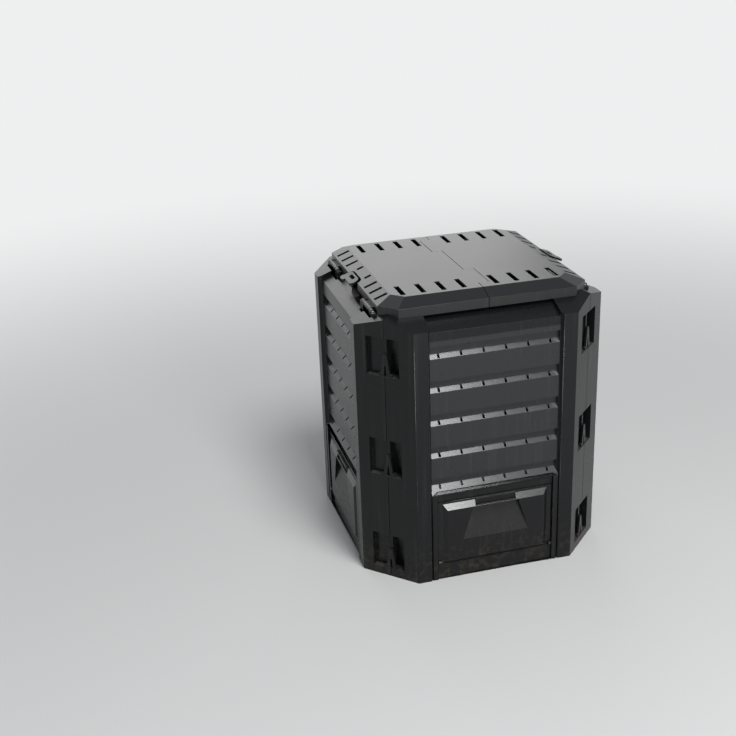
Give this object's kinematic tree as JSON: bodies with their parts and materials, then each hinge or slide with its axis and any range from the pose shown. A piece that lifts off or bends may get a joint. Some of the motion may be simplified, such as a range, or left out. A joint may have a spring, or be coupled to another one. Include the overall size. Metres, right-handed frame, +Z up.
{
  "type": "compost bin with lid",
  "caption": "Black garden compost bin with cut-off corners, slatted vented walls, drop-down doors at the foot and a slotted lid with hinged leaves.",
  "frame": {"origin": "on the ground under the middle of the bin", "axes": "+Z up, the front wall faces -Y, the lid's two leaves lie at -X and +X"},
  "size_m": [0.719, 0.719, 0.828],
  "materials": {
    "wall_plastic": "black weathered polypropylene, satin",
    "door_plastic": "black polypropylene, satin, a little glossier than the walls",
    "lid_plastic": "black polypropylene, fine grained satin",
    "clip_plastic": "black polypropylene, smooth",
    "lever_plastic": "black nylon, smooth",
    "pin_steel": "plain zinc-plated steel rod"
  },
  "bodies": {
    "bin": {"front_wall": "wall_plastic", "back_wall": "wall_plastic", "left_wall": "wall_plastic", "right_wall": "wall_plastic", "clip_front_left_low": "clip_plastic", "clip_front_left_middle": "clip_plastic", "clip_front_left_top": "clip_plastic", "clip_front_right_low": "clip_plastic", "clip_front_right_middle": "clip_plastic", "clip_front_right_top": "clip_plastic", "clip_back_right_low": "clip_plastic", "clip_back_right_middle": "clip_plastic", "clip_back_right_top": "clip_plastic", "clip_back_left_low": "clip_plastic", "clip_back_left_middle": "clip_plastic", "clip_back_left_top": "clip_plastic", "left_hinge_pin_front": "pin_steel", "left_hinge_pin_back": "pin_steel", "right_hinge_pin_front": "pin_steel", "right_hinge_pin_back": "pin_steel", "left_lock_pin": "pin_steel", "right_lock_pin": "pin_steel"},
    "front_door": {"front_door": "door_plastic"},
    "back_door": {"back_door": "door_plastic"},
    "left_door": {"left_door": "door_plastic"},
    "right_door": {"right_door": "door_plastic"},
    "left_lid": {"left_lid": "lid_plastic"},
    "right_lid": {"right_lid": "lid_plastic"},
    "left_lock_lever": {"left_lock_lever": "lever_plastic"},
    "right_lock_lever": {"right_lock_lever": "lever_plastic"}
  },
  "joints": [
    {"name": "left_lid_hinge", "type": "hinge", "parent": "bin", "child": "left_lid", "pos_m": [-0.306, 0, 0.79], "axis": [0, -1, 0], "range_deg": [0, 100]},
    {"name": "right_lid_hinge", "type": "hinge", "parent": "bin", "child": "right_lid", "pos_m": [0.306, 0, 0.79], "axis": [0, 1, 0], "range_deg": [0, 100]},
    {"name": "front_door_hinge", "type": "hinge", "parent": "bin", "child": "front_door", "pos_m": [0, -0.355, 0.054], "axis": [1, 0, 0], "range_deg": [0, 100]},
    {"name": "back_door_hinge", "type": "hinge", "parent": "bin", "child": "back_door", "pos_m": [0, 0.355, 0.054], "axis": [-1, 0, 0], "range_deg": [0, 100]},
    {"name": "left_door_hinge", "type": "hinge", "parent": "bin", "child": "left_door", "pos_m": [-0.355, 0, 0.054], "axis": [0, -1, 0], "range_deg": [0, 100]},
    {"name": "right_door_hinge", "type": "hinge", "parent": "bin", "child": "right_door", "pos_m": [0.355, 0, 0.054], "axis": [0, 1, 0], "range_deg": [0, 100]},
    {"name": "left_lock_turn", "type": "hinge", "parent": "bin", "child": "left_lock_lever", "pos_m": [-0.286, 0, 0.77668], "axis": [0.3593, 0, -0.9332], "range_deg": [0, 70]},
    {"name": "right_lock_turn", "type": "hinge", "parent": "bin", "child": "right_lock_lever", "pos_m": [0.286, 0, 0.77668], "axis": [-0.3593, 0, -0.9332], "range_deg": [0, 70]}
  ]
}
